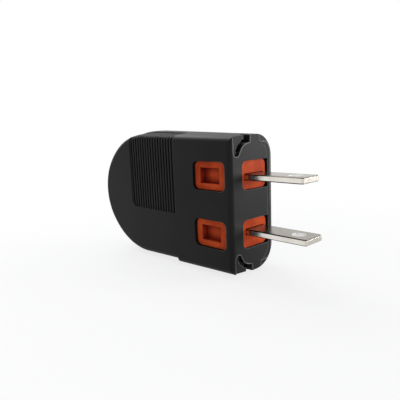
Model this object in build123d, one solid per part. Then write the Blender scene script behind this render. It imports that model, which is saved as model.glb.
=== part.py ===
from build123d import *
from math import acos, cos, degrees, radians, sin
import os

# Two-blade mains plug, flat D-shaped housing, in millimetres.
# +X runs out along the blades, +Z runs from the lower blade to the upper one,
# and Y = 0 is the middle of the plug's thickness. The origin is the centre of the mating face.

# Blades
BLADE_SPACING = 12.7
BLADE_WIDTH = 6.35
BLADE_THICKNESS = 1.4
BLADE_REACH = 15.4
BLADE_PLAY = 0.8
BLADE_TIP_CHAMFER = 0.4
BLADE_EDGE_CHAMFER = 0.22
BLADE_HOLE_RADIUS = 1.6
BLADE_HOLE_FROM_TIP = 3.7
BLADE_SHOULDER = 0.9
BLADE_WEB_LENGTH = 2.6
FLAG_LENGTH = 9.4
FLAG_HEIGHT = 7.5
FLAG_CORNER = 1.0

# Housing outline
HOUSING_THICKNESS = 17.0
FRONT_HALF_HEIGHT = 15.8
HEIGHT_TAPER = 0.049
FRONT_CROWN = 0.5
CROWN_GROWTH = 0.02
FRONT_BLOCK_LENGTH = 18.8
STRAIGHT_LENGTH = 32.8
BOTTOM_STEP = 0.75
REAR_SIDE_RADIUS = 20.5
REAR_TIP_RADIUS = 14.5
NEAR_EDGE_RADIUS = 1.3
FRONT_EDGE_RADIUS = 1.1
FAR_EDGE_RADIUS = 5.2
NOSE_LENGTH = 4.1
NOSE_DEPTH = 4.0
NOSE_SECTIONS = 5
SEAM = 0.1

# Walls
FRONT_WALL = 1.8
SIDE_WALL = 1.9
NEAR_WALL = 2.0
FAR_WALL = 2.2
CAVITY_EDGE_RADIUS = 1.5

# Front plate edges and corner slots
PLATE_FAR_Y = 4.4
PLATE_HALF_HEIGHT = 14.1
PLATE_CORNER_RADIUS = 3.6
TAB_NEAR_Y = -1.8
TAB_FAR_Y = 1.5
CORNER_POCKET_NEAR_Y = -7.4
CORNER_POCKET_START_Z = 12.1
CORNER_POCKET_DEPTH = 0.6
CORNER_SLOT_WIDTH = 0.95
CORNER_SLOT_DEPTH = 1.35
SHOULDER_NEAR_Y = -5.35
SHOULDER_RADIUS = 3.2
CORNER_OPENING_NEAR_Y = -3.25
CORNER_OPENING_DEPTH = 2.4
LATCH_RECESS_X = -9.7
LATCH_RECESS_Y = 3.4
LATCH_RECESS_LENGTH = 3.6
LATCH_RECESS_WIDTH = 3.4
LATCH_RECESS_DEPTH = 0.6

# Blade carriers and the windows that show them
WINDOW_INNER_Z = 3.42
WINDOW_HEIGHT = 6.7
FRONT_WINDOW_NEAR_Y = -4.6
SIDE_WINDOW_LENGTH = 10.2
WINDOW_CORNER_RADIUS = 1.4
WINDOW_CLEARANCE = 0.1
FRONT_RECESS = 0.45
SIDE_RECESS = 0.8
CARRIER_LENGTH = 13.2
CARRIER_SHOULDER = 0.6
CARRIER_FAR_GAP = 1.4
CARRIER_NOSE_FAR_Y = 4.1
STOP_THICKNESS = 1.2
SLOT_CLEARANCE = 0.1
POCKET_LENGTH = 6.05
POCKET_HEIGHT = 3.65
POCKET_FRONT_X = -4.15
POCKET_INNER_Z = 4.95
POCKET_DEPTH = 1.7

# Ribbed grip
GRIP_LENGTH = 18.7
GRIP_BOTTOM_Z = -3.3
GRIP_CORNER_RADIUS = 2.2
GRIP_DEPTH = 0.6
GRIP_OVER_EDGE_Y = 3.2
RIB_PITCH = 1.07
RIB_WIDTH = 0.5
RIB_HEIGHT = 0.42

# Terminal screws, wire clamps and lock washers
TERMINAL_SCREW_RADIUS = 1.75
TERMINAL_HEAD_RADIUS = 2.9
TERMINAL_HEAD_HEIGHT = 2.0
TERMINAL_TIP_CLEARANCE = 0.125
WIRE_CLAMP_SIZE = 6.4
WIRE_CLAMP_THICKNESS = 0.8
LOCK_WASHER_THICKNESS = 0.7
LOCK_WASHER_RADIUS = 2.7
LOCK_WASHER_GAP = 0.5
POST_RADIUS = 3.2
POST_HOLE_RADIUS = 2.0
SLOT_WIDTH_IN_HEADS = 0.8
SLOT_DEPTH_IN_HEADS = 0.9

# Cover screw and its nut
COVER_SCREW_X = -23.0
COVER_SCREW_RADIUS = 1.5
COVER_HEAD_RADIUS = 2.8
COVER_HEAD_HEIGHT = 1.9
COVER_SCREW_PAST_NUT = 0.9
COVER_BOSS_RADIUS = 4.4
COUNTERBORE_DEPTH = 2.3
COVER_PAD_RADIUS = 3.8
NUT_ACROSS_FLATS = 5.5
NUT_THICKNESS = 2.4
FIT_CLEARANCE = 0.15
THREAD_CLEARANCE = 0.03
BARRIER_THICKNESS = 1.6
BARRIER_FAR_Y = 3.0

# Cord inlet and cord clamp
INLET_RADIUS = 3.6
BUSH_RADIUS = 5.0
BUSH_FLANGE_RADIUS = 5.9
BUSH_FLANGE_THICKNESS = 1.4
BUSH_SETBACK = 0.8
CLAMP_FROM_INLET = 11.0
CLAMP_POST_SPACING = 14.4
CLAMP_POST_RADIUS = 2.9
CLAMP_BAR_WIDTH = 6.0
CLAMP_BAR_THICKNESS = 2.0
CLAMP_SADDLE_Y = -2.7
CLAMP_SADDLE_THICKNESS = 1.6
CLAMP_SCREW_RADIUS = 1.45
CLAMP_HEAD_RADIUS = 2.6
CLAMP_HEAD_HEIGHT = 1.7
CLAMP_HEAD_CLEARANCE = 0.4
CLAMP_SCREW_LENGTH = 7.5

# Worked out from the sizes above
HALF_THICKNESS = HOUSING_THICKNESS / 2
BLADE_Z = BLADE_SPACING / 2
REAR_TOP = FRONT_HALF_HEIGHT + HEIGHT_TAPER * STRAIGHT_LENGTH
REAR_RADIUS = REAR_TOP - BOTTOM_STEP / 2
REAR_CENTRE_Z = BOTTOM_STEP / 2
REAR_CENTRE_X = -STRAIGHT_LENGTH
REAR_CROWN = FRONT_CROWN + CROWN_GROWTH * STRAIGHT_LENGTH
REAR_SIDE_DROP = REAR_SIDE_RADIUS - REAR_RADIUS
REAR_CENTRE_GAP = REAR_SIDE_RADIUS - REAR_TIP_RADIUS
REAR_SIDE_ANGLE = degrees(acos(REAR_SIDE_DROP / REAR_CENTRE_GAP))
REAR_TIP_X = REAR_CENTRE_X - (REAR_CENTRE_GAP**2 - REAR_SIDE_DROP**2) ** 0.5
STEP_X = -FRONT_BLOCK_LENGTH
NEAR_INSIDE_Y = NEAR_WALL - HALF_THICKNESS
FAR_INSIDE_Y = HALF_THICKNESS - FAR_WALL
WINDOW_OUTER_Z = WINDOW_INNER_Z + WINDOW_HEIGHT
WINDOW_MIDDLE_Z = WINDOW_INNER_Z + WINDOW_HEIGHT / 2
SIDE_WINDOW_MIDDLE_X = -FRONT_WALL - SIDE_WINDOW_LENGTH / 2
BLADE_LOW_Z = BLADE_Z - BLADE_THICKNESS / 2
FLAG_TOP_Z = BLADE_LOW_Z + FLAG_HEIGHT
FLAG_FAR_Y = BLADE_THICKNESS - BLADE_WIDTH / 2 - BLADE_SHOULDER
FLAG_NEAR_Y = FLAG_FAR_Y - BLADE_THICKNESS
TERMINAL_HEAD_Y = FLAG_FAR_Y + WIRE_CLAMP_THICKNESS + LOCK_WASHER_THICKNESS
TERMINAL_SCREW_LENGTH = TERMINAL_HEAD_Y - NEAR_INSIDE_Y - TERMINAL_TIP_CLEARANCE
COVER_SCREW_LENGTH = HALF_THICKNESS - COUNTERBORE_DEPTH + SEAM + NUT_THICKNESS + COVER_SCREW_PAST_NUT
CARRIER_FAR_Y = FAR_INSIDE_Y - CARRIER_FAR_GAP
CLAMP_POST_FAR_Y = FAR_INSIDE_Y - CLAMP_HEAD_CLEARANCE - CLAMP_HEAD_HEIGHT - CLAMP_BAR_THICKNESS
BLADE_SHOULDER_X = -CARRIER_LENGTH
TERMINAL_X = BLADE_SHOULDER_X - BLADE_WEB_LENGTH - WIRE_CLAMP_SIZE / 2 - 2 * FIT_CLEARANCE
TERMINAL_Z = FLAG_TOP_Z - WIRE_CLAMP_SIZE / 2 - FIT_CLEARANCE
BUSH_OUTER_X = REAR_TIP_X - REAR_TIP_RADIUS + BUSH_SETBACK
CLAMP_X = BUSH_OUTER_X + CLAMP_FROM_INLET
LONG = 4 * STRAIGHT_LENGTH


def block(x_range, y_range, z_range):
    """A box between two corners, each given as its low and high value along one axis."""
    size = [high - low for low, high in (x_range, y_range, z_range)]
    middle = [(high + low) / 2 for low, high in (x_range, y_range, z_range)]
    return Pos(*middle) * Box(*size)


def pin(x, z, y_low, y_high, radius):
    """A round pin or hole along Y, the way every screw of the plug points."""
    return Pos(x, (y_low + y_high) / 2, z) * Rot(90, 0, 0) * Cylinder(radius, y_high - y_low)


def section(x, top, bottom, crown, inset=0.0, far_y=HALF_THICKNESS):
    """Housing section across the blades at x: flat sides, crowned top and bottom, rounded corners."""
    near_y = inset - HALF_THICKNESS
    far_y -= inset
    far_crown = crown * (far_y / near_y) ** 2
    top_arc = ThreePointArc((near_y, top - crown), (0, top), (far_y, top - far_crown))
    bottom_arc = ThreePointArc((far_y, far_crown - bottom), (0, -bottom), (near_y, crown - bottom))
    far_side = Line(top_arc @ 1, bottom_arc @ 0)
    near_side = Line(bottom_arc @ 1, top_arc @ 0)
    face = make_face([top_arc, far_side, bottom_arc, near_side])
    face = fillet(face.vertices().sort_by(Axis.X)[:2], NEAR_EDGE_RADIUS - inset)
    face = fillet(face.vertices().sort_by(Axis.X)[-2:], FAR_EDGE_RADIUS - inset)
    return Plane.YZ.offset(x) * face


def front_section(x, far_y=HALF_THICKNESS):
    """Section of the front block, which grows and gets rounder away from the blades."""
    top = FRONT_HALF_HEIGHT - HEIGHT_TAPER * x
    return section(x, top, top, FRONT_CROWN - CROWN_GROWTH * x, far_y=far_y)


def front_form():
    """The front block: tapered, with a small rounding on the near edge and a full one on the far edge."""
    near_block = loft([front_section(STEP_X), front_section(0)], ruled=True)
    edge_y = FRONT_EDGE_RADIUS - HALF_THICKNESS
    corner = block(
        (-FRONT_EDGE_RADIUS, 1),
        (-HOUSING_THICKNESS, edge_y),
        (-LONG, LONG),
    )
    round_edge = Pos(-FRONT_EDGE_RADIUS, edge_y, 0) * Cylinder(FRONT_EDGE_RADIUS, 3 * LONG)
    near_block -= corner - round_edge
    angles = [radians(90 * index / (NOSE_SECTIONS - 1)) for index in range(NOSE_SECTIONS)]
    nose = loft([
        front_section(NOSE_LENGTH * (sin(angle) - 1), HALF_THICKNESS - NOSE_DEPTH * (1 - cos(angle)))
        for angle in angles
    ])
    far_block = loft([front_section(STEP_X), front_section(-NOSE_LENGTH)], ruled=True) + nose
    far_space = block((-LONG, LONG), (0, LONG), (-LONG, LONG))
    return (near_block - far_space) + (far_block & far_space)


def rear_wedge(x, axis_z, radius, angle, inset):
    """The housing's edge swept round an axis along Y through x and axis_z."""
    face = Pos(0, 0, axis_z) * section(x, radius - inset, radius - inset, REAR_CROWN, inset)
    upper_half = face & (Pos(x, 0, axis_z + LONG / 2) * Box(1, LONG, LONG))
    return revolve(upper_half, Axis((x, 0, axis_z), (0, -1, 0)), angle)


def rear_form(inset=0.0):
    """The D-shaped rear behind the step, or the same form drawn in by inset on every side."""
    step_top = FRONT_HALF_HEIGHT + HEIGHT_TAPER * FRONT_BLOCK_LENGTH - inset
    step_crown = FRONT_CROWN + CROWN_GROWTH * FRONT_BLOCK_LENGTH
    rear_top = REAR_TOP - inset
    straight = loft([
        section(REAR_CENTRE_X, rear_top, rear_top - BOTTOM_STEP, REAR_CROWN, inset),
        section(STEP_X, step_top, step_top - BOTTOM_STEP, step_crown, inset),
    ], ruled=True)
    side_axis_z = REAR_CENTRE_Z - REAR_SIDE_DROP
    side = rear_wedge(REAR_CENTRE_X, side_axis_z, REAR_SIDE_RADIUS, REAR_SIDE_ANGLE, inset)
    tip = rear_wedge(REAR_TIP_X, REAR_CENTRE_Z, REAR_TIP_RADIUS, 180, inset)
    return straight + tip + side + mirror(side, about=Plane.XY.offset(REAR_CENTRE_Z))


def cavity():
    """The space inside both shells: the D outline drawn in by the walls, with a rounded far edge."""
    wall = SIDE_WALL + REAR_CROWN
    front_half = FRONT_HALF_HEIGHT - FRONT_CROWN - SIDE_WALL
    side_radius = REAR_SIDE_RADIUS - wall

    def on_side(angle):
        """Point on the upper side arc, angle degrees round from the top."""
        turn = radians(angle)
        return (
            REAR_CENTRE_X - side_radius * sin(turn),
            REAR_CENTRE_Z - REAR_SIDE_DROP + side_radius * cos(turn),
        )

    def below(point):
        """The same point mirrored to the lower half."""
        return (point[0], 2 * REAR_CENTRE_Z - point[1])

    top = on_side(0)
    middle = on_side(REAR_SIDE_ANGLE / 2)
    end = on_side(REAR_SIDE_ANGLE)
    tip = (REAR_TIP_X - REAR_TIP_RADIUS + wall, REAR_CENTRE_Z)
    outline = Plane.XZ * make_face([
        Line((-FRONT_WALL, front_half), top),
        ThreePointArc(top, middle, end),
        ThreePointArc(end, tip, below(end)),
        ThreePointArc(below(end), below(middle), below(top)),
        Line(below(top), (-FRONT_WALL, -front_half)),
        Line((-FRONT_WALL, -front_half), (-FRONT_WALL, front_half)),
    ])
    space = Pos(0, NEAR_INSIDE_Y, 0) * extrude(outline, FAR_INSIDE_Y - NEAR_INSIDE_Y, dir=(0, 1, 0))
    far_edges = space.edges().filter_by_position(Axis.Y, FAR_INSIDE_Y - 0.01, FAR_INSIDE_Y + 0.01)
    return fillet(far_edges, CAVITY_EDGE_RADIUS)


def both(make, play=0):
    """The piece made for the upper blade, set back by its play, and its mirror image for the lower one."""
    upper = make()
    return Pos(-play, 0, 0) * upper, mirror(upper, about=Plane.XY)


def front_window():
    """The cut through the front plate round one blade, open towards the far cover."""
    height = WINDOW_HEIGHT
    width = 2 * (HALF_THICKNESS - FRONT_WINDOW_NEAR_Y)
    shape = Plane.YZ * Pos(FRONT_WINDOW_NEAR_Y + width / 2, WINDOW_MIDDLE_Z) * RectangleRounded(
        width, height, WINDOW_CORNER_RADIUS
    )
    return Pos(-FRONT_WALL, 0, 0) * extrude(shape, 2 * FRONT_WALL)


def side_window():
    """The cut through the near wall that shows the side of one blade carrier."""
    shape = Plane.XZ * Pos(SIDE_WINDOW_MIDDLE_X, WINDOW_MIDDLE_Z) * RectangleRounded(
        SIDE_WINDOW_LENGTH, WINDOW_HEIGHT, WINDOW_CORNER_RADIUS
    )
    return Pos(0, NEAR_INSIDE_Y, 0) * extrude(shape, 2 * NEAR_WALL, dir=(0, -1, 0))


def corner_shape(growth):
    """The front plate's shoulder beside the tab, in the YZ plane, grown outwards by growth."""
    width = 2 * HALF_THICKNESS
    near = SHOULDER_NEAR_Y - growth
    top = PLATE_HALF_HEIGHT + growth
    shape = Pos(near + width / 2, top - HALF_THICKNESS) * RectangleRounded(
        width, width, SHOULDER_RADIUS + growth
    )
    return shape


def corner_relief():
    """The sunk pocket and the deeper slot that part the near corner from the front plate's shoulder."""
    tall = HALF_THICKNESS
    pocket_width = TAB_NEAR_Y - CORNER_POCKET_NEAR_Y
    window = Pos(CORNER_POCKET_NEAR_Y + pocket_width / 2, CORNER_POCKET_START_Z + tall / 2) * Rectangle(
        pocket_width, tall
    )
    round_start = Pos(
        (CORNER_POCKET_NEAR_Y + SHOULDER_NEAR_Y) / 2, CORNER_POCKET_START_Z
    ) * Circle((SHOULDER_NEAR_Y - CORNER_POCKET_NEAR_Y) / 2)
    pocket = window + round_start - corner_shape(0)
    slot = (window & corner_shape(CORNER_SLOT_WIDTH)) - corner_shape(0)
    pocket_cut = extrude(Plane.YZ * pocket, -CORNER_POCKET_DEPTH)
    slot_cut = extrude(Plane.YZ * slot, -CORNER_SLOT_DEPTH)
    opening = block(
        (-CORNER_OPENING_DEPTH, 0),
        (CORNER_OPENING_NEAR_Y, TAB_NEAR_Y),
        (PLATE_HALF_HEIGHT, LONG),
    )
    return pocket_cut + slot_cut + opening


def grip_zone():
    """The part of the near face, and of the top edge beside it, that the ribbed grip covers."""
    height = 2 * REAR_TOP
    shape = Plane.XZ * Pos(STEP_X - GRIP_LENGTH / 2, GRIP_BOTTOM_Z + height / 2) * RectangleRounded(
        GRIP_LENGTH, height, GRIP_CORNER_RADIUS
    )
    zone = Pos(0, -GRIP_OVER_EDGE_Y, 0) * extrude(shape, HALF_THICKNESS, dir=(0, -1, 0))
    square_end = block(
        (STEP_X - GRIP_CORNER_RADIUS, STEP_X),
        (-GRIP_OVER_EDGE_Y - HALF_THICKNESS, -GRIP_OVER_EDGE_Y),
        (GRIP_BOTTOM_Z, REAR_TOP),
    )
    return zone + square_end


def ribbed_grip():
    """What is cut from a shell for the grip: a shallow sunk floor with a row of grooves in it."""
    zone = grip_zone()
    count = int(GRIP_LENGTH / RIB_PITCH)
    first_x = STEP_X - (GRIP_LENGTH - (count - 1) * RIB_PITCH) / 2
    groove_width = RIB_PITCH - RIB_WIDTH
    grooves = [
        block(
            (first_x - index * RIB_PITCH - groove_width / 2, first_x - index * RIB_PITCH + groove_width / 2),
            (-HOUSING_THICKNESS, 0),
            (-LONG, LONG),
        )
        for index in range(count)
    ]
    crests = zone - rear_form(GRIP_DEPTH - RIB_HEIGHT)
    floors = (zone & Compound(children=grooves)) - rear_form(GRIP_DEPTH)
    return crests, floors


def plate_region(clearance):
    """The space of the front plate and its tongue beyond the parting plane, grown by clearance."""
    outline = RectangleRounded(
        2 * (PLATE_FAR_Y + clearance),
        2 * (PLATE_HALF_HEIGHT + clearance),
        PLATE_CORNER_RADIUS + clearance,
    )
    plate = extrude(Plane.YZ.offset(-FRONT_WALL - clearance) * outline, 2 * FRONT_WALL)
    tongue = block((-FRONT_WALL - clearance, FRONT_WALL), (-1, TAB_FAR_Y + clearance), (-LONG, LONG))
    return plate + tongue


def inlet_seat():
    """The round hole in the D end that both shells close round the inlet bush."""
    return Pos(BUSH_OUTER_X, 0, REAR_CENTRE_Z) * Rot(0, 90, 0) * Cylinder(
        BUSH_RADIUS + FIT_CLEARANCE, STRAIGHT_LENGTH / 2
    )


def near_housing(form, space, grip):
    """The near shell with the front plate, windows, ribbed grip and the posts that carry the terminals."""
    shell = form - block((-LONG, LONG), (0, LONG), (-LONG, LONG)) - space
    shell += (form & plate_region(0)) - block((-LONG, LONG), (-LONG, 0), (-LONG, LONG))
    for cut in grip:
        shell -= cut
    shell += block(
        (COVER_SCREW_X, -FRONT_WALL),
        (NEAR_INSIDE_Y, BARRIER_FAR_Y),
        (-BARRIER_THICKNESS / 2, BARRIER_THICKNESS / 2),
    )
    shell += pin(COVER_SCREW_X, 0, NEAR_INSIDE_Y, 0, COVER_BOSS_RADIUS)
    shell += block(
        (CLAMP_X - CLAMP_SADDLE_THICKNESS / 2, CLAMP_X + CLAMP_SADDLE_THICKNESS / 2),
        (NEAR_INSIDE_Y, CLAMP_SADDLE_Y),
        (REAR_CENTRE_Z - CLAMP_POST_SPACING / 2, REAR_CENTRE_Z + CLAMP_POST_SPACING / 2),
    )
    stop_x = -CARRIER_LENGTH - SLOT_CLEARANCE
    screw_end = CLAMP_POST_FAR_Y + CLAMP_BAR_THICKNESS - CLAMP_SCREW_LENGTH - FIT_CLEARANCE
    for sign in (1, -1):
        rear_stop = block(
            (stop_x - STOP_THICKNESS, stop_x),
            (NEAR_INSIDE_Y, FLAG_NEAR_Y - SLOT_CLEARANCE),
            (WINDOW_INNER_Z, WINDOW_OUTER_Z),
        )
        window = front_window() + side_window() + corner_relief()
        shell += rear_stop if sign > 0 else mirror(rear_stop, about=Plane.XY)
        shell -= window if sign > 0 else mirror(window, about=Plane.XY)
        terminal_x = TERMINAL_X - BLADE_PLAY if sign > 0 else TERMINAL_X
        shell += pin(terminal_x, sign * TERMINAL_Z, NEAR_INSIDE_Y, FLAG_NEAR_Y, POST_RADIUS)
        shell -= pin(terminal_x, sign * TERMINAL_Z, NEAR_INSIDE_Y, FLAG_NEAR_Y, POST_HOLE_RADIUS)
        post_z = REAR_CENTRE_Z + sign * CLAMP_POST_SPACING / 2
        shell += pin(CLAMP_X, post_z, NEAR_INSIDE_Y, CLAMP_POST_FAR_Y, CLAMP_POST_RADIUS)
        shell -= pin(CLAMP_X, post_z, screw_end, CLAMP_POST_FAR_Y, CLAMP_SCREW_RADIUS + THREAD_CLEARANCE)
    shell -= pin(COVER_SCREW_X, 0, 0, LONG, COVER_BOSS_RADIUS + FIT_CLEARANCE)
    shell -= Pos(COVER_SCREW_X, -NUT_THICKNESS - SEAM, 0) * extrude(
        Plane.XZ * nut_outline(FIT_CLEARANCE), NUT_THICKNESS + SEAM, dir=(0, 1, 0)
    )
    shell -= pin(COVER_SCREW_X, 0, cover_screw_end() - FIT_CLEARANCE, 0, COVER_SCREW_RADIUS + FIT_CLEARANCE)
    return shell - inlet_seat()


def far_cover(form, space, grip):
    """The far shell, with the screw boss, the ribs that hold the carriers, and a mirrored grip."""
    shell = form - block((-LONG, LONG), (-LONG, 0), (-LONG, LONG)) - space - plate_region(SEAM)
    for cut in grip:
        shell -= mirror(cut, about=Plane.XZ)
    shell += pin(COVER_SCREW_X, 0, 0, FAR_INSIDE_Y, COVER_BOSS_RADIUS)
    shell += pin(COVER_SCREW_X, 0, FAR_INSIDE_Y, HALF_THICKNESS, COVER_PAD_RADIUS)
    latch_recess = Pos(LATCH_RECESS_X, LATCH_RECESS_Y, REAR_TOP) * Box(
        LATCH_RECESS_LENGTH, LATCH_RECESS_WIDTH, 2 * REAR_TOP
    )
    shell -= latch_recess - (Pos(0, 0, -LATCH_RECESS_DEPTH) * form)
    shell -= pin(COVER_SCREW_X, 0, -1, LONG, COVER_SCREW_RADIUS + FIT_CLEARANCE)
    seat_y = HALF_THICKNESS - COUNTERBORE_DEPTH
    shell -= pin(COVER_SCREW_X, 0, seat_y, LONG, COVER_HEAD_RADIUS + FIT_CLEARANCE)
    for sign in (1, -1):
        rib_z = sign * WINDOW_MIDDLE_Z
        shell += block(
            (STOP_THICKNESS - CARRIER_LENGTH, -FRONT_WALL - SEAM),
            (CARRIER_FAR_Y + SLOT_CLEARANCE, FAR_INSIDE_Y),
            (rib_z - BARRIER_THICKNESS / 2, rib_z + BARRIER_THICKNESS / 2),
        )
    return shell - inlet_seat()


def blade_carrier():
    """Upper insulating block that holds one blade, with its nose and side face in the two windows."""
    inner_z = WINDOW_INNER_Z - CARRIER_SHOULDER
    outer_z = WINDOW_OUTER_Z + CARRIER_SHOULDER
    carrier = block((-CARRIER_LENGTH, -FRONT_WALL), (NEAR_INSIDE_Y, CARRIER_FAR_Y), (inner_z, outer_z))
    nose_height = WINDOW_HEIGHT - 2 * WINDOW_CLEARANCE
    nose_near = FRONT_WINDOW_NEAR_Y + WINDOW_CLEARANCE
    corner = WINDOW_CORNER_RADIUS - WINDOW_CLEARANCE
    nose = Plane.YZ * Pos((nose_near + CARRIER_NOSE_FAR_Y) / 2, WINDOW_MIDDLE_Z) * RectangleRounded(
        CARRIER_NOSE_FAR_Y - nose_near, nose_height, corner
    )
    carrier += Pos(-FRONT_WALL, 0, 0) * extrude(nose, FRONT_WALL - FRONT_RECESS)
    boss = Plane.XZ * Pos(SIDE_WINDOW_MIDDLE_X, WINDOW_MIDDLE_Z) * RectangleRounded(
        SIDE_WINDOW_LENGTH - 2 * WINDOW_CLEARANCE, nose_height, corner
    )
    carrier += Pos(0, NEAR_INSIDE_Y, 0) * extrude(boss, NEAR_WALL - SIDE_RECESS, dir=(0, -1, 0))
    pocket_far_y = SIDE_RECESS - HALF_THICKNESS + POCKET_DEPTH
    carrier -= block(
        (POCKET_FRONT_X - POCKET_LENGTH, POCKET_FRONT_X),
        (-HALF_THICKNESS, pocket_far_y),
        (POCKET_INNER_Z, POCKET_INNER_Z + POCKET_HEIGHT),
    )
    half_width = BLADE_WIDTH / 2 + SLOT_CLEARANCE
    half_height = BLADE_THICKNESS / 2 + SLOT_CLEARANCE
    carrier -= block(
        (-CARRIER_LENGTH - 1, 1),
        (-half_width, half_width),
        (BLADE_Z - half_height, BLADE_Z + half_height),
    )
    return carrier


def blade():
    """Upper flat blade with its locking hole, and the flag folded up behind the carrier for the terminal."""
    half_width = BLADE_WIDTH / 2
    tip = BLADE_TIP_CHAMFER
    outline = Polyline(
        (BLADE_SHOULDER_X, -half_width),
        (BLADE_REACH - tip, -half_width),
        (BLADE_REACH, tip - half_width),
        (BLADE_REACH, half_width - tip),
        (BLADE_REACH - tip, half_width),
        (BLADE_SHOULDER_X, half_width),
        close=True,
    )
    bar = extrude(make_face(outline), BLADE_THICKNESS)
    long_edges = bar.edges().filter_by(lambda edge: abs(edge.tangent_at(0.5).Z) < 0.5)
    outer_edges = [edge for edge in long_edges if (edge @ 0.5).X > BLADE_SHOULDER_X + 0.01]
    bar = chamfer(outer_edges, BLADE_EDGE_CHAMFER)
    bar = Pos(0, 0, BLADE_LOW_Z) * bar
    hole_x = BLADE_REACH - BLADE_HOLE_FROM_TIP
    hole = Pos(hole_x, 0, BLADE_Z) * Cylinder(BLADE_HOLE_RADIUS, 2 * BLADE_THICKNESS)
    bar -= hole
    web_near = -half_width - BLADE_SHOULDER
    web = block(
        (BLADE_SHOULDER_X - BLADE_WEB_LENGTH, BLADE_SHOULDER_X),
        (web_near, half_width + BLADE_SHOULDER),
        (BLADE_LOW_Z, BLADE_LOW_Z + BLADE_THICKNESS),
    )
    flag_end = BLADE_SHOULDER_X - FLAG_LENGTH
    flag = block((flag_end, BLADE_SHOULDER_X), (FLAG_NEAR_Y, FLAG_FAR_Y), (BLADE_LOW_Z, FLAG_TOP_Z))
    flag_corners = flag.edges().filter_by(Axis.Y).sort_by(Axis.X)[:2]
    flag = fillet(flag_corners, FLAG_CORNER)
    piece = bar + web + flag
    return piece - pin(TERMINAL_X, TERMINAL_Z, -LONG, LONG, TERMINAL_SCREW_RADIUS + THREAD_CLEARANCE)


def slotted_screw(x, z, seat_y, radius, length, head_radius, head_height):
    """A slotted pan-head screw along Y whose head sits on the plane y = seat_y."""
    screw = pin(x, z, seat_y - length, seat_y, radius) + pin(x, z, seat_y, seat_y + head_height, head_radius)
    rim = screw.edges().filter_by_position(Axis.Y, seat_y + head_height - 0.01, seat_y + head_height + 0.01)
    screw = fillet(rim, head_height / 3)
    half_slot = SLOT_WIDTH_IN_HEADS / 2
    top_y = seat_y + head_height
    return screw - block(
        (x - 2 * head_radius, x + 2 * head_radius),
        (top_y - SLOT_DEPTH_IN_HEADS, top_y + 1),
        (z - half_slot, z + half_slot),
    )


def clamp_stack_y():
    """Where the wire clamp, lock washer and terminal screw head each start, from the flag outwards."""
    clamp_y = FLAG_FAR_Y
    washer_y = clamp_y + WIRE_CLAMP_THICKNESS
    return clamp_y, washer_y, washer_y + LOCK_WASHER_THICKNESS


def wire_clamp():
    """Square clamping plate, grooved underneath on both sides of the screw to hold the strands."""
    clamp_y, washer_y, _ = clamp_stack_y()
    half = WIRE_CLAMP_SIZE / 2
    plate = block(
        (TERMINAL_X - half, TERMINAL_X + half),
        (clamp_y, washer_y),
        (TERMINAL_Z - half, TERMINAL_Z + half),
    )
    plate = fillet(plate.edges().filter_by(Axis.Y), FLAG_CORNER)
    groove = Pos(TERMINAL_X, clamp_y, TERMINAL_Z) * Cylinder(WIRE_CLAMP_THICKNESS / 2, 2 * WIRE_CLAMP_SIZE)
    for side in (-1, 1):
        plate -= Pos(side * half * 0.72, 0, 0) * groove
    return plate - pin(TERMINAL_X, TERMINAL_Z, -LONG, LONG, TERMINAL_SCREW_RADIUS + FIT_CLEARANCE)


def lock_washer():
    """Split spring washer under the terminal screw's head."""
    _, washer_y, head_y = clamp_stack_y()
    washer = pin(TERMINAL_X, TERMINAL_Z, washer_y, head_y, LOCK_WASHER_RADIUS)
    washer -= pin(TERMINAL_X, TERMINAL_Z, washer_y - 1, head_y + 1, TERMINAL_SCREW_RADIUS + FIT_CLEARANCE)
    split = block(
        (0, 2 * LOCK_WASHER_RADIUS),
        (washer_y - 1, head_y + 1),
        (-LOCK_WASHER_GAP / 2, LOCK_WASHER_GAP / 2),
    )
    return washer - Pos(TERMINAL_X, 0, TERMINAL_Z) * split


def terminal_screw():
    """Screw that pulls the wire clamp down on the blade's flag."""
    _, _, head_y = clamp_stack_y()
    return slotted_screw(
        TERMINAL_X, TERMINAL_Z, head_y, TERMINAL_SCREW_RADIUS, TERMINAL_SCREW_LENGTH,
        TERMINAL_HEAD_RADIUS, TERMINAL_HEAD_HEIGHT,
    )


def nut_outline(clearance):
    """Hexagon of the cover nut, grown by clearance."""
    return RegularPolygon(NUT_ACROSS_FLATS / 2 + clearance, 6, major_radius=False)


def cover_screw_end():
    """How deep the cover screw reaches."""
    return HALF_THICKNESS - COUNTERBORE_DEPTH - COVER_SCREW_LENGTH


def cover_nut():
    """Hexagon nut that drops into the near housing's boss and takes the cover screw."""
    nut = Pos(COVER_SCREW_X, -NUT_THICKNESS - SEAM, 0) * extrude(
        Plane.XZ * nut_outline(0), NUT_THICKNESS, dir=(0, 1, 0)
    )
    return nut - pin(COVER_SCREW_X, 0, -LONG, LONG, COVER_SCREW_RADIUS + THREAD_CLEARANCE)


def cover_screw():
    """The one screw that holds the far cover, driven from the far side."""
    return slotted_screw(
        COVER_SCREW_X, 0, HALF_THICKNESS - COUNTERBORE_DEPTH, COVER_SCREW_RADIUS, COVER_SCREW_LENGTH,
        COVER_HEAD_RADIUS, COVER_HEAD_HEIGHT,
    )


def cord_clamp_bar():
    """Flat bar with round ends that presses the cord into the saddle."""
    length = CLAMP_POST_SPACING + CLAMP_BAR_WIDTH
    shape = Plane.XZ * Pos(CLAMP_X, REAR_CENTRE_Z) * Rot(0, 0, 90) * SlotOverall(length, CLAMP_BAR_WIDTH)
    bar = Pos(0, CLAMP_POST_FAR_Y, 0) * extrude(shape, CLAMP_BAR_THICKNESS, dir=(0, 1, 0))
    for sign in (1, -1):
        post_z = REAR_CENTRE_Z + sign * CLAMP_POST_SPACING / 2
        bar -= pin(CLAMP_X, post_z, -LONG, LONG, CLAMP_SCREW_RADIUS + FIT_CLEARANCE)
    return bar


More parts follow.
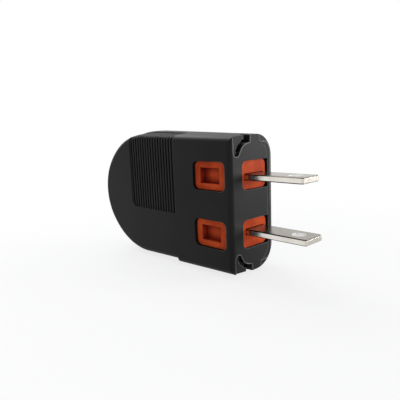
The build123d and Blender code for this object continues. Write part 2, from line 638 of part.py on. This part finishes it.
def clamp_screw(sign):
    """Self-tapping screw at one end of the cord clamp bar."""
    return slotted_screw(
        CLAMP_X, REAR_CENTRE_Z + sign * CLAMP_POST_SPACING / 2, CLAMP_POST_FAR_Y + CLAMP_BAR_THICKNESS,
        CLAMP_SCREW_RADIUS, CLAMP_SCREW_LENGTH, CLAMP_HEAD_RADIUS, CLAMP_HEAD_HEIGHT,
    )


def inlet_bush():
    """Soft flanged bush in the D end that the cord would pass through."""
    inner_wall = REAR_TIP_RADIUS - REAR_CROWN - SIDE_WALL
    flange_x = REAR_TIP_X - (inner_wall**2 - BUSH_FLANGE_RADIUS**2) ** 0.5 + FIT_CLEARANCE
    end_x = flange_x + BUSH_FLANGE_THICKNESS
    along_x = Pos(0, 0, REAR_CENTRE_Z) * Rot(0, 90, 0)
    sleeve = Pos((BUSH_OUTER_X + end_x) / 2, 0, 0) * along_x * Cylinder(BUSH_RADIUS, end_x - BUSH_OUTER_X)
    flange = Pos((flange_x + end_x) / 2, 0, 0) * along_x * Cylinder(BUSH_FLANGE_RADIUS, BUSH_FLANGE_THICKNESS)
    bore = along_x * Cylinder(INLET_RADIUS, LONG)
    return sleeve + flange - bore


form = front_form() + rear_form()
space = cavity()
grip = ribbed_grip()
upper_carrier, lower_carrier = both(blade_carrier)
upper_blade, lower_blade = both(blade, BLADE_PLAY)
upper_wire_clamp, lower_wire_clamp = both(wire_clamp, BLADE_PLAY)
upper_lock_washer, lower_lock_washer = both(lock_washer, BLADE_PLAY)
upper_terminal_screw, lower_terminal_screw = both(terminal_screw, BLADE_PLAY)

pieces = {
    "near_housing": near_housing(form, space, grip),
    "far_cover": far_cover(form, space, grip),
    "upper_blade_carrier": upper_carrier,
    "lower_blade_carrier": lower_carrier,
    "upper_blade": upper_blade,
    "lower_blade": lower_blade,
    "upper_wire_clamp": upper_wire_clamp,
    "lower_wire_clamp": lower_wire_clamp,
    "upper_lock_washer": upper_lock_washer,
    "lower_lock_washer": lower_lock_washer,
    "upper_terminal_screw": upper_terminal_screw,
    "lower_terminal_screw": lower_terminal_screw,
    "cover_screw": cover_screw(),
    "cover_nut": cover_nut(),
    "cord_clamp_bar": cord_clamp_bar(),
    "upper_clamp_screw": clamp_screw(1),
    "lower_clamp_screw": clamp_screw(-1),
    "inlet_bush": inlet_bush(),
}

os.makedirs("parts", exist_ok=True)
for node, piece in pieces.items():
    print(node, len(piece.solids()), round(piece.volume, 2), piece.is_valid)
    export_step(piece, f"parts/{node}.step")
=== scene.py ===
import bpy
from mathutils import Matrix, Vector


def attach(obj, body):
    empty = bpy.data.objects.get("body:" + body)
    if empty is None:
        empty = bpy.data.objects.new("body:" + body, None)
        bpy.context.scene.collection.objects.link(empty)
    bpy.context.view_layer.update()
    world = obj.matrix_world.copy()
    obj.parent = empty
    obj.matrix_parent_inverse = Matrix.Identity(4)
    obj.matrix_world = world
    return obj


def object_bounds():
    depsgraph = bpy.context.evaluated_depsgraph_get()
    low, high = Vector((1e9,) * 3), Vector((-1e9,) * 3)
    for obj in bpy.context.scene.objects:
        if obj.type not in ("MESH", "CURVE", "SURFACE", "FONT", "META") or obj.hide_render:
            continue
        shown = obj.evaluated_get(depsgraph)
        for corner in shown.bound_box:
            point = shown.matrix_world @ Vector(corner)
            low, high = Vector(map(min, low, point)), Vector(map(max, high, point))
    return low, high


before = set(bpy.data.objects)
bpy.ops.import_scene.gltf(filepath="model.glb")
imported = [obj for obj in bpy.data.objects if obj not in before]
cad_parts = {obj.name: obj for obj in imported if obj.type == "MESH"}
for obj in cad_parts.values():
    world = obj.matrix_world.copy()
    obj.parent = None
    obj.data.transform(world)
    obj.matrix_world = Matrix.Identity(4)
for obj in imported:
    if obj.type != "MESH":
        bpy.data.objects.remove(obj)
cad_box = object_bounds()


# Housing shells: the near shell with the front plate and ribbed grip, and the far cover.
# Both are injection moulded in a black thermoset with a satin skin, and one screw from the far
# The open edges are painted lighter, fully at the front and faintly further back: a painted
# highlight, with some rubbed wear from handling.
shell_tones = ((0.005, 0.005, 0.0049, 1), (0.0084, 0.0084, 0.0082, 1))
shell_edge_highlight_tone = (0.12, 0.12, 0.115, 1)
shell_gloss = 0.12
shell_roughness = (0.42, 0.56)
shell_patch_size = 0.012
shell_skin_size = 0.00035
shell_skin_height = 0.00002
shell_skin_strength = 0.35
shell_edge_radius = 0.00028
shell_edge_samples = 8
shell_flat_turn = 0.985
shell_highlight_and_wear_turn = 0.86
shell_corner_opening = 0.75
shell_edge_opening = 0.95
shell_rear_edge_x = -0.006
shell_front_edge_x = -0.002
shell_rear_highlight_and_wear = 0.1


def add_node(tree, kind, inputs=None, **settings):
    """A shader node with its settings, each input either linked to an output or set to a value."""
    node = tree.nodes.new(f"ShaderNode{kind}")
    for name, value in settings.items():
        setattr(node, name, value)
    for name, value in (inputs or {}).items():
        feed(tree, value, node.inputs[name])
    return node


def feed(tree, value, socket):
    """Links a socket to an output, or sets it to a plain value."""
    if isinstance(value, bpy.types.NodeSocket):
        tree.links.new(value, socket)
    else:
        socket.default_value = value


def new_finish(name):
    """A new node material, its node tree and its shader."""
    finish = bpy.data.materials.new(name)
    finish.use_nodes = True
    return finish, finish.node_tree, finish.node_tree.nodes["Principled BSDF"]


def dress(finish, *node_names):
    """Puts one finish on the only material slot of each CAD node."""
    for node_name in node_names:
        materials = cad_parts[node_name].data.materials
        materials.clear()
        materials.append(finish)


def grain(tree, size, detail=4.0, stretch=(1, 1, 1)):
    """Noise in the part's own space, whose cells measure size in metres."""
    place = add_node(tree, "TexCoord")
    scaled = add_node(tree, "Mapping", {"Vector": place.outputs["Object"], "Scale": stretch})
    noise = add_node(
        tree,
        "TexNoise",
        {"Vector": scaled.outputs["Vector"], "Scale": 1 / size, "Detail": detail},
    )
    return noise.outputs["Fac"]


def ramp(tree, factor, stops):
    """Colour that runs through places and their colours, chosen by a factor."""
    node = add_node(tree, "ValToRGB", {"Fac": factor})
    elements = node.color_ramp.elements
    for place, _ in stops[1:-1]:
        elements.new(place)
    for element, (place, colour) in zip(elements, stops):
        element.position = place
        element.color = colour
    return node.outputs["Color"]


def tone(tree, factor, tones):
    """Colour between two tones, chosen by noise that keeps near its middle."""
    low, high = tones
    return ramp(tree, factor, ((0.35, low), (0.65, high)))


def spread(tree, value, start=0.0, end=1.0, low=0.0, high=1.0):
    """A number that runs from low to high while value runs from start to end."""
    span = {"Value": value, "From Min": start, "From Max": end, "To Min": low, "To Max": high}
    return add_node(tree, "MapRange", span).outputs["Result"]


def combine(tree, operation, first, second):
    """One number worked out from two."""
    return add_node(tree, "Math", {0: first, 1: second}, operation=operation).outputs[0]


def combine_vectors(tree, operation, first, second, output="Vector"):
    """One vector or number worked out from two vectors."""
    inputs = {0: first, 1: second}
    return add_node(tree, "VectorMath", inputs, operation=operation).outputs[output]


def mix(tree, factor, first, second, blend="MIX"):
    """Colour between two colours, or one laid over the other."""
    inputs = {"Factor": factor, "A": first, "B": second}
    return add_node(tree, "Mix", inputs, data_type="RGBA", blend_type=blend).outputs["Result"]


def opening(tree, reach):
    """How open the surface is within reach: 1 in the open, lower in corners and pockets."""
    return add_node(
        tree, "AmbientOcclusion", {"Distance": reach}, only_local=True
    ).outputs["AO"]


def soft_edges(tree, shader, factor, edge_radius, height, strength):
    """Rounds the look of the edges a little and raises the skin by factor."""
    edge = add_node(tree, "Bevel", {"Radius": edge_radius})
    bump = add_node(
        tree,
        "Bump",
        {
            "Height": factor,
            "Distance": height,
            "Strength": strength,
            "Normal": edge.outputs["Normal"],
        },
    )
    feed(tree, bump.outputs["Normal"], shader.inputs["Normal"])


def finish_look(tree, shader, colour, roughness_factor, roughness):
    """Gives a shader its colour, and its roughness between two limits."""
    feed(tree, colour, shader.inputs["Base Color"])
    low, high = roughness
    feed(tree, spread(tree, roughness_factor, low=low, high=high), shader.inputs["Roughness"])


def edge_highlight_and_wear(tree):
    """Where the shell's edges get a painted highlight with some rubbed wear: on open edges, and
    less away from the front.
    """
    rounding = add_node(
        tree, "Bevel", {"Radius": shell_edge_radius}, samples=shell_edge_samples
    )
    surface = add_node(tree, "NewGeometry")
    turn = combine_vectors(
        tree, "DOT_PRODUCT", rounding.outputs["Normal"], surface.outputs["Normal"], "Value"
    )
    edges = spread(tree, turn, shell_flat_turn, shell_highlight_and_wear_turn)
    open_parts = spread(
        tree, opening(tree, 2 * shell_edge_radius), shell_corner_opening, shell_edge_opening
    )
    place = add_node(tree, "TexCoord")
    along = add_node(tree, "SeparateXYZ", {"Vector": place.outputs["Object"]})
    front_weight = spread(
        tree, along.outputs["X"], shell_rear_edge_x, shell_front_edge_x, shell_rear_highlight_and_wear
    )
    return combine(tree, "MULTIPLY", combine(tree, "MULTIPLY", edges, open_parts), front_weight)


shell_finish, shell_tree, shell_shader = new_finish("black_moulded_shell")
shell_shader.inputs["Specular IOR Level"].default_value = shell_gloss
shell_skin = grain(shell_tree, shell_skin_size)
# painted highlight: the open edges are mixed towards a lighter tone that stands in for light
# caught on them, with some rubbed wear
shell_colour = mix(
    shell_tree,
    edge_highlight_and_wear(shell_tree),
    tone(shell_tree, grain(shell_tree, shell_patch_size, detail=2), shell_tones),
    shell_edge_highlight_tone,
)
finish_look(shell_tree, shell_shader, shell_colour, shell_skin, shell_roughness)
soft_edges(
    shell_tree,
    shell_shader,
    shell_skin,
    shell_edge_radius,
    shell_skin_height,
    shell_skin_strength,
)
dress(shell_finish, "near_housing", "far_cover")


# Plate rims: the fine raised line that borders the front plate, its tabs and the corner slots.
# It is moulded in one with the shells. Its lighter tone is a painted highlight, and on the lower
# half the tones are darker as painted shade.
# Each place is given as Y and Z on the mating face, for the upper half.
rim_radius = 0.00012
rim_sink = 0.00004
rim_rub_size = 0.0008
rim_roughness = (0.3, 0.42)
# painted light: the rims' light tones are a painted highlight, and the lower half's darker tones
# are painted shade
rim_highlight_and_shade_tones = {
    "upper": ((0.07, 0.07, 0.066, 1), (0.1, 0.1, 0.095, 1)),
    "lower": ((0.032, 0.032, 0.03, 1), (0.05, 0.05, 0.047, 1)),
}
rim_near_line = (
    (-0.0075, 0.0152),
    (-0.0075, 0.0121),
    (-0.00735, 0.0115),
    (-0.0069, 0.0111),
    (-0.006375, 0.01098),
    (-0.0058, 0.0111),
    (-0.00535, 0.0116),
    (-0.00505, 0.0122),
    (-0.0047, 0.0128),
    (-0.0041, 0.01335),
    (-0.0033, 0.01375),
    (-0.0025, 0.01395),
    (-0.0017, 0.01405),
    (-0.0016, 0.0146),
    (-0.0015, 0.0156),
)
rim_far_line = (
    (0.00135, 0.0156),
    (0.0015, 0.0144),
    (0.0018, 0.0141),
    (0.0036, 0.01405),
    (0.0043, 0.0137),
    (0.0048, 0.0131),
    (0.0051, 0.0123),
    (0.0052, 0.0114),
    (0.0052, 0.0),
)


def plate_rim(name, line, half, finish):
    """A rim along a line on the mating face, in the upper half (1) or the lower half (-1)."""
    curve = bpy.data.curves.new(name, "CURVE")
    curve.dimensions = "3D"
    curve.bevel_depth = rim_radius
    curve.bevel_resolution = 3
    curve.use_fill_caps = True
    spline = curve.splines.new("POLY")
    spline.points.add(len(line) - 1)
    for point, (y, z) in zip(spline.points, line):
        point.co = (-rim_sink, y, half * z, 1)
    curve.materials.append(finish)
    rim = bpy.data.objects.new(name, curve)
    bpy.context.scene.collection.objects.link(rim)
    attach(rim, "root")


for level, half in (("upper", 1), ("lower", -1)):
    rim_finish, rim_tree, rim_shader = new_finish(f"{level}_painted_highlight_rim")
    rim_rub = grain(rim_tree, rim_rub_size)
    rim_colour = tone(rim_tree, rim_rub, rim_highlight_and_shade_tones[level])
    finish_look(rim_tree, rim_shader, rim_colour, rim_rub, rim_roughness)
    plate_rim(f"{level}_near_rim", rim_near_line, half, rim_finish)
    plate_rim(f"{level}_far_rim", rim_far_line, half, rim_finish)


# Blade carriers: two orange insulating blocks that hold the blades.
# Each is moulded in a hard plastic, cored out on the side that shows in the near wall, and is
# trapped between the two shells. Its pockets are painted darker as shade.
carrier_tones = ((0.36, 0.041, 0.012, 1), (0.51, 0.068, 0.017, 1))
carrier_pocket_shade_tone = (0.17, 0.014, 0.008, 1)
carrier_pocket_shade_reach = 0.0022
carrier_shaded_opening = 0.45
carrier_unshaded_opening = 0.95
carrier_gloss = 0.03
carrier_roughness = (0.3, 0.42)
carrier_cloud_size = 0.004
carrier_skin_size = 0.0005
carrier_skin_height = 0.00001
carrier_skin_strength = 0.25
carrier_edge_radius = 0.00015

carrier_finish, carrier_tree, carrier_shader = new_finish("orange_moulded_carrier")
carrier_shader.inputs["Specular IOR Level"].default_value = carrier_gloss
carrier_skin = grain(carrier_tree, carrier_skin_size)
# painted shade: the carrier is darkened towards the pocket tone where ambient occlusion finds it
# enclosed
carrier_unshaded = spread(
    carrier_tree,
    opening(carrier_tree, carrier_pocket_shade_reach),
    carrier_shaded_opening,
    carrier_unshaded_opening,
)
carrier_colour = mix(
    carrier_tree,
    carrier_unshaded,
    carrier_pocket_shade_tone,
    tone(carrier_tree, grain(carrier_tree, carrier_cloud_size, detail=3), carrier_tones),
)
finish_look(carrier_tree, carrier_shader, carrier_colour, carrier_skin, carrier_roughness)
soft_edges(
    carrier_tree,
    carrier_shader,
    carrier_skin,
    carrier_edge_radius,
    carrier_skin_height,
    carrier_skin_strength,
)
dress(carrier_finish, "upper_blade_carrier", "lower_blade_carrier")


# Blades: one stamped brass strip each, nickel plated, with the locking hole near the tip.
# Their colour is painted by the way each surface faces: the sheared edges carry a painted
# highlight, the bevels a painted dark reflection, the rolled faces and the tip painted shade, and
# the hole a painted white reflection. The inner end is folded into the flag that takes the wire.
blade_edge_highlight_tone = (0.8, 0.77, 0.72, 1)
blade_bevel_dark_reflection_tone = (0.1, 0.088, 0.075, 1)
blade_face_shaded_tone = (0.3, 0.275, 0.24, 1)
blade_hole_reflection_tone = (1, 0.99, 0.97, 1)
blade_tip_shade_tone = (0.56, 0.53, 0.48, 1)
blade_light_by_facing_stops = (
    (0.0, blade_edge_highlight_tone),
    (0.55, blade_edge_highlight_tone),
    (0.66, blade_bevel_dark_reflection_tone),
    (0.78, blade_bevel_dark_reflection_tone),
    (0.9, blade_face_shaded_tone),
)
blade_wear_tones = ((0.88, 0.87, 0.85, 1), (1, 1, 1, 1))
blade_wear_size = 0.003
blade_line_size = 0.0004
blade_line_stretch = (0.06, 1, 1)
blade_line_height = 0.000008
blade_line_strength = 0.3
blade_roughness = (0.16, 0.3)
blade_edge_radius = 0.00008
blade_tip_turn_start = 0.5
blade_tip_turn_end = 0.9
blade_holes_x = 0.0113
blade_holes_reach = 0.0021
blade_wall_flatness = 0.5
blade_hole_metal = 0.15

blade_finish, blade_tree, blade_shader = new_finish("nickel_plated_blade")
blade_place = add_node(blade_tree, "TexCoord")
blade_facing = add_node(blade_tree, "SeparateXYZ", {"Vector": blade_place.outputs["Normal"]})
# painted light: tones chosen by facing give a painted highlight on the edges, a painted dark
# reflection on the bevels and painted shade on the faces and the tip
blade_flatness = add_node(
    blade_tree, "Math", {0: blade_facing.outputs["Z"]}, operation="ABSOLUTE"
).outputs[0]
blade_facing_light_tone = ramp(blade_tree, blade_flatness, blade_light_by_facing_stops)
blade_tip = spread(
    blade_tree, blade_facing.outputs["X"], blade_tip_turn_start, blade_tip_turn_end
)
blade_plain = mix(blade_tree, blade_tip, blade_facing_light_tone, blade_tip_shade_tone)
blade_worn = mix(
    blade_tree,
    1.0,
    blade_plain,
    tone(blade_tree, grain(blade_tree, blade_wear_size, detail=5), blade_wear_tones),
    blend="MULTIPLY",
)
# painted reflection: the wall of each locking hole is painted near-white and made mostly
# non-metal, so it looks brightly lit
blade_hole_offset = combine_vectors(
    blade_tree, "SUBTRACT", blade_place.outputs["Object"], (blade_holes_x, 0, 0)
)
blade_hole_plane = combine_vectors(blade_tree, "MULTIPLY", blade_hole_offset, (1, 1, 0))
blade_hole_distance = add_node(
    blade_tree, "VectorMath", {0: blade_hole_plane}, operation="LENGTH"
).outputs["Value"]
blade_in_hole = combine(blade_tree, "LESS_THAN", blade_hole_distance, blade_holes_reach)
blade_on_wall = combine(blade_tree, "LESS_THAN", blade_flatness, blade_wall_flatness)
blade_hole_reflection = combine(blade_tree, "MULTIPLY", blade_in_hole, blade_on_wall)
blade_metal = spread(blade_tree, blade_hole_reflection, low=1.0, high=blade_hole_metal)
feed(blade_tree, blade_metal, blade_shader.inputs["Metallic"])
blade_colour = mix(blade_tree, blade_hole_reflection, blade_worn, blade_hole_reflection_tone)
blade_lines = grain(blade_tree, blade_line_size, detail=3, stretch=blade_line_stretch)
finish_look(blade_tree, blade_shader, blade_colour, blade_lines, blade_roughness)
soft_edges(
    blade_tree,
    blade_shader,
    blade_lines,
    blade_edge_radius,
    blade_line_height,
    blade_line_strength,
)
dress(blade_finish, "upper_blade", "lower_blade")


# Terminals: on each flag a clamping plate, a split washer and a slotted screw.
# All are turned or stamped in steel with bright zinc plating, and lie inside the housing with
# the cover's nut and the cord clamp.
zinc_tones = ((0.45, 0.46, 0.47, 1), (0.63, 0.64, 0.65, 1))
zinc_roughness = (0.25, 0.42)
zinc_spangle_size = 0.0008
zinc_spangle_height = 0.00001
zinc_spangle_strength = 0.3
zinc_edge_radius = 0.00012

zinc_finish, zinc_tree, zinc_shader = new_finish("zinc_plated_steel")
zinc_shader.inputs["Metallic"].default_value = 1
zinc_spangle = grain(zinc_tree, zinc_spangle_size, detail=5)
zinc_colour = tone(zinc_tree, zinc_spangle, zinc_tones)
finish_look(zinc_tree, zinc_shader, zinc_colour, zinc_spangle, zinc_roughness)
soft_edges(
    zinc_tree,
    zinc_shader,
    zinc_spangle,
    zinc_edge_radius,
    zinc_spangle_height,
    zinc_spangle_strength,
)
for level in ("upper", "lower"):
    dress(
        zinc_finish, f"{level}_wire_clamp", f"{level}_lock_washer", f"{level}_terminal_screw"
    )


# Cover screw and nut: the screw is sunk in the far cover, and the nut drops into the near shell.
# Both are zinc-plated steel like the terminals.
dress(zinc_finish, "cover_screw", "cover_nut")


# Cord clamp: a stamped bar and two screws that would hold the cord against the saddle.
# Zinc-plated steel, fixed on two posts of the near shell.
dress(zinc_finish, "cord_clamp_bar", "upper_clamp_screw", "lower_clamp_screw")


# Inlet bush: a soft flanged ring that both shells close round, in the D-shaped end.
# Moulded in matt black rubber with a fine bloom.
bush_tones = ((0.012, 0.012, 0.012, 1), (0.022, 0.022, 0.022, 1))
bush_roughness = (0.65, 0.85)
bush_bloom_size = 0.0015
bush_bloom_height = 0.00002
bush_bloom_strength = 0.4
bush_edge_radius = 0.0002

bush_finish, bush_tree, bush_shader = new_finish("soft_black_bush")
bush_bloom = grain(bush_tree, bush_bloom_size, detail=6)
bush_colour = tone(bush_tree, bush_bloom, bush_tones)
finish_look(bush_tree, bush_shader, bush_colour, bush_bloom, bush_roughness)
soft_edges(
    bush_tree,
    bush_shader,
    bush_bloom,
    bush_edge_radius,
    bush_bloom_height,
    bush_bloom_strength,
)
dress(bush_finish, "inlet_bush")


# Floor: a plain white table under the plug, which keeps a soft shadow.
# The camera and reflections see it nearly white near the plug and wholly white further out, and
# the lamps see an ordinary pale surface.
floor_half_size = 3.0
floor_tones = ((0.84, 0.84, 0.84, 1), (0.86, 0.86, 0.86, 1))
floor_mottle_size = 0.2
floor_roughness = 0.9
floor_near_distance = 0.045
floor_far_distance = 0.12
floor_near_white = 0.78
white = (1, 1, 1, 1)


def seen_or_mirrored(tree):
    """1 for the camera's rays and reflections, 0 for the light that falls on surfaces."""
    rays = add_node(tree, "LightPath")
    direct = combine(
        tree, "MAXIMUM", rays.outputs["Is Camera Ray"], rays.outputs["Is Glossy Ray"]
    )
    return combine(tree, "MAXIMUM", direct, rays.outputs["Is Transmission Ray"])


floor_mesh = bpy.data.meshes.new("pale_floor")
floor_corners = [
    (x * floor_half_size, y * floor_half_size, cad_box[0][2])
    for x, y in ((-1, -1), (1, -1), (1, 1), (-1, 1))
]
floor_mesh.from_pydata(floor_corners, [], [(0, 1, 2, 3)])
pale_floor = bpy.data.objects.new("pale_floor", floor_mesh)
bpy.context.scene.collection.objects.link(pale_floor)

floor_finish, floor_tree, floor_shader = new_finish("pale_floor")
floor_shader.inputs["Roughness"].default_value = floor_roughness
floor_mottle = grain(floor_tree, floor_mottle_size, detail=2)
feed(
    floor_tree, tone(floor_tree, floor_mottle, floor_tones), floor_shader.inputs["Base Color"]
)
floor_white = add_node(floor_tree, "Emission", {"Color": white})
floor_place = add_node(floor_tree, "TexCoord")
floor_distance = add_node(
    floor_tree, "VectorMath", {0: floor_place.outputs["Object"]}, operation="LENGTH"
)
floor_fade = spread(
    floor_tree,
    floor_distance.outputs["Value"],
    floor_near_distance,
    floor_far_distance,
    floor_near_white,
)
floor_share = combine(floor_tree, "MULTIPLY", seen_or_mirrored(floor_tree), floor_fade)
floor_mix = add_node(
    floor_tree,
    "MixShader",
    {"Fac": floor_share, 1: floor_shader.outputs["BSDF"], 2: floor_white.outputs["Emission"]},
)
feed(
    floor_tree,
    floor_mix.outputs["Shader"],
    floor_tree.nodes["Material Output"].inputs["Surface"],
)
floor_mesh.materials.append(floor_finish)


# Room: the empty surroundings, as in a studio picture on white.
# It is white for the camera and for reflections, and a dimmer pale light on the surfaces.
room_colour = (0.94, 0.97, 1.0, 1)
room_strength = 0.52

room = bpy.data.worlds.new("pale_room")
bpy.context.scene.world = room
room.use_nodes = True
room_tree = room.node_tree
room_light = room_tree.nodes["Background"]
room_light.inputs["Color"].default_value = room_colour
room_light.inputs["Strength"].default_value = room_strength
room_white = add_node(room_tree, "Background", {"Color": white, "Strength": 1.0})
room_mix = add_node(
    room_tree,
    "MixShader",
    {
        "Fac": seen_or_mirrored(room_tree),
        1: room_light.outputs["Background"],
        2: room_white.outputs["Background"],
    },
)
feed(room_tree, room_mix.outputs["Shader"], room_tree.nodes["World Output"].inputs["Surface"])


# Lamps: a wide soft lamp above and behind on the left, one low on the far right that lights the
# plate and the blades, and a faint one beside the camera.
lamp_target = Vector((-0.02, 0, 0))


def soft_lamp(name, place, size, power):
    """A square soft lamp that faces the plug's middle."""
    lamp = bpy.data.lights.new(name, "AREA")
    lamp.size = size
    lamp.energy = power
    holder = bpy.data.objects.new(name, lamp)
    holder.location = place
    holder.rotation_euler = (lamp_target - Vector(place)).to_track_quat("-Z", "Y").to_euler()
    bpy.context.scene.collection.objects.link(holder)


soft_lamp("top_lamp", (-0.44, 0.1, 0.4), 0.4, 2.0)
soft_lamp("side_lamp", (0.42, 0.46, 0.06), 0.3, 3.9)
soft_lamp("front_lamp", (0.3, -0.42, 0.2), 0.12, 0.3)


# Camera: where the photograph's camera stood, worked out from the blades and the windows.
# Its three directions and its focal length fit the blades' known spacing and width.
camera_place = Vector((0.06049, -0.07477, 0.01742))
camera_right = Vector((0.6902, 0.7226, -0.0388))
camera_up = Vector((-0.0946, 0.1434, 0.9851))
camera_back = Vector((0.7174, -0.6763, 0.1673))
picture_width = 400
focal_length_in_pixels = 418.3
sensor_width = 36
nearest_seen = 0.002

camera_data = bpy.data.cameras.new("photo_camera")
camera_data.sensor_fit = "HORIZONTAL"
camera_data.sensor_width = sensor_width
camera_data.lens = focal_length_in_pixels * sensor_width / picture_width
camera_data.clip_start = nearest_seen
camera = bpy.data.objects.new("photo_camera", camera_data)
camera_turn = Matrix((camera_right, camera_up, camera_back)).transposed().to_4x4()
camera.matrix_world = Matrix.Translation(camera_place) @ camera_turn
bpy.context.scene.collection.objects.link(camera)
bpy.context.scene.camera = camera
bpy.context.scene.view_settings.view_transform = "Standard"
